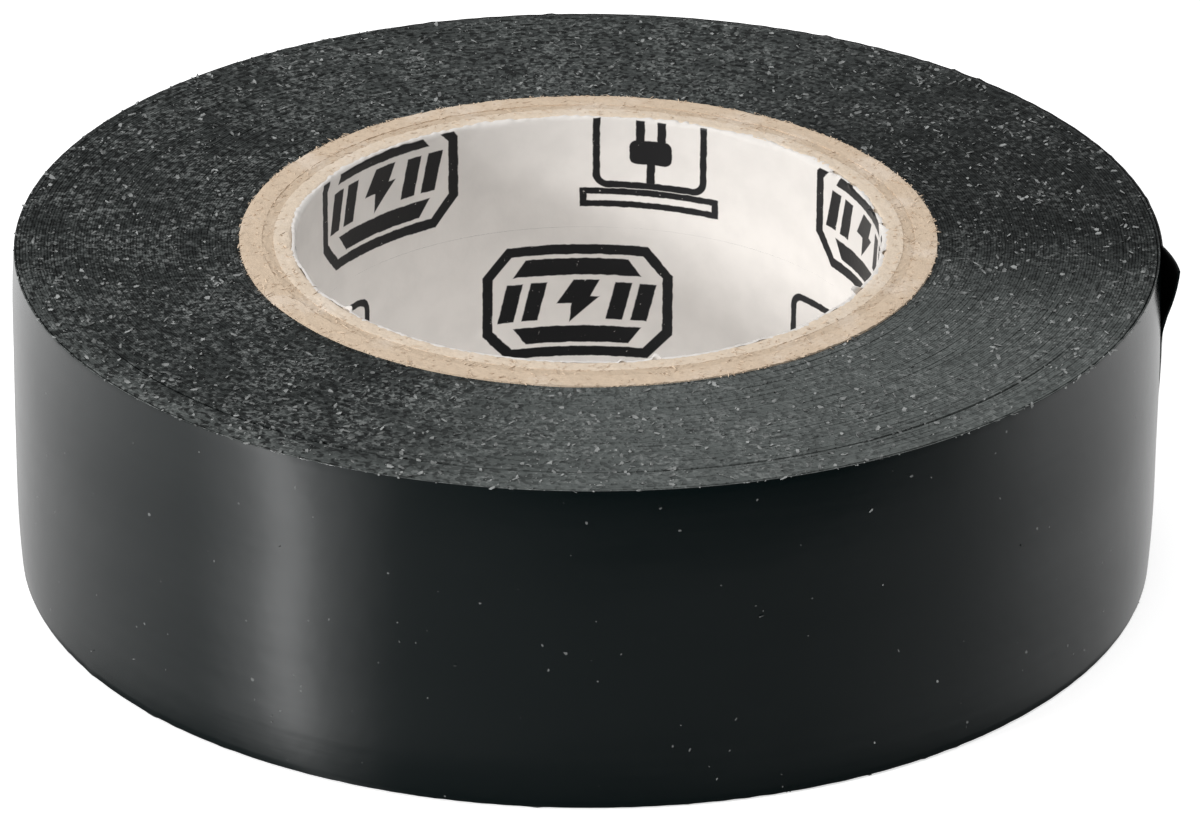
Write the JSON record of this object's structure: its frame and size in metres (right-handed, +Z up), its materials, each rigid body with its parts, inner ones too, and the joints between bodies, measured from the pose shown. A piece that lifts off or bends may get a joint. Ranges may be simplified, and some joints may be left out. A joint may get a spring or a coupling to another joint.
{
  "type": "electrical tape roll",
  "caption": "Roll of black PVC electrical tape wound on a kraft board core with a printed paper liner, its free end ready to peel.",
  "frame": {"origin": "on the bore's axis, in the plane that the roll stands on", "axes": "+Z up along the bore's axis, +X towards the tape's free end, the tape winding clockwise outwards when seen from +Z"},
  "size_m": [0.0516, 0.0509, 0.0152],
  "materials": {
    "printed_paper": "coated white paper with black line print",
    "kraft_board": "cut kraft board, fuzzy edge",
    "kraft_core_ply": "darker cut kraft board",
    "wound_edge": "slit edges of many turns, dusty and matte",
    "pvc_film": "satin calendered PVC",
    "adhesive": "tacky rubber adhesive"
  },
  "bodies": {
    "roll": {"liner": "printed_paper", "ply_inner": "kraft_board", "ply_middle": "kraft_core_ply", "ply_outer": "kraft_board", "wound_tape": "wound_edge", "outer_wrap": "pvc_film"},
    "tail_1": {"tail_film_1": "pvc_film", "tail_adhesive_1": "adhesive"},
    "tail_2": {"tail_film_2": "pvc_film", "tail_adhesive_2": "adhesive"},
    "tail_3": {"tail_film_3": "pvc_film", "tail_adhesive_3": "adhesive"},
    "tail_4": {"tail_film_4": "pvc_film", "tail_adhesive_4": "adhesive"},
    "tail_5": {"tail_film_5": "pvc_film", "tail_adhesive_5": "adhesive"},
    "tail_6": {"tail_film_6": "pvc_film", "tail_adhesive_6": "adhesive"},
    "tail_7": {"tail_film_7": "pvc_film", "tail_adhesive_7": "adhesive"},
    "tail_8": {"tail_film_8": "pvc_film", "tail_adhesive_8": "adhesive"},
    "corner": {"corner_film": "pvc_film", "corner_adhesive": "adhesive"}
  },
  "joints": [
    {"name": "tail_peel", "type": "hinge", "parent": "roll", "child": "tail_1", "pos_m": [-0.00976, 0.02356, 0.0076], "axis": [0, 0, 1], "range_deg": [0, 18]},
    {"name": "tail_bend_2", "type": "hinge", "parent": "tail_1", "child": "tail_2", "pos_m": [-0.00333, 0.02528, 0.0076], "axis": [0, 0, 1], "range_deg": [0, 18]},
    {"name": "tail_bend_3", "type": "hinge", "parent": "tail_2", "child": "tail_3", "pos_m": [0.00333, 0.02528, 0.0076], "axis": [0, 0, 1], "range_deg": [0, 18]},
    {"name": "tail_bend_4", "type": "hinge", "parent": "tail_3", "child": "tail_4", "pos_m": [0.00976, 0.02356, 0.0076], "axis": [0, 0, 1], "range_deg": [0, 18]},
    {"name": "tail_bend_5", "type": "hinge", "parent": "tail_4", "child": "tail_5", "pos_m": [0.01552, 0.02023, 0.0076], "axis": [0, 0, 1], "range_deg": [0, 18]},
    {"name": "tail_bend_6", "type": "hinge", "parent": "tail_5", "child": "tail_6", "pos_m": [0.02023, 0.01552, 0.0076], "axis": [0, 0, 1], "range_deg": [0, 18]},
    {"name": "tail_bend_7", "type": "hinge", "parent": "tail_6", "child": "tail_7", "pos_m": [0.02356, 0.00976, 0.0076], "axis": [0, 0, 1], "range_deg": [0, 18]},
    {"name": "tail_bend_8", "type": "hinge", "parent": "tail_7", "child": "tail_8", "pos_m": [0.02528, 0.00333, 0.0076], "axis": [0, 0, 1], "range_deg": [0, 18]},
    {"name": "corner_lift", "type": "hinge", "parent": "tail_8", "child": "corner", "pos_m": [0.02547, -0.00126, 0.0134], "axis": [0.0192, 0.3895, 0.9208], "range_deg": [-18, 66]}
  ],
  "couplings": [
    {"joint": "tail_bend_2", "follows": "tail_peel", "ratio": 1},
    {"joint": "tail_bend_3", "follows": "tail_peel", "ratio": 1},
    {"joint": "tail_bend_4", "follows": "tail_peel", "ratio": 1},
    {"joint": "tail_bend_5", "follows": "tail_peel", "ratio": 1},
    {"joint": "tail_bend_6", "follows": "tail_peel", "ratio": 1},
    {"joint": "tail_bend_7", "follows": "tail_peel", "ratio": 1},
    {"joint": "tail_bend_8", "follows": "tail_peel", "ratio": 1}
  ]
}
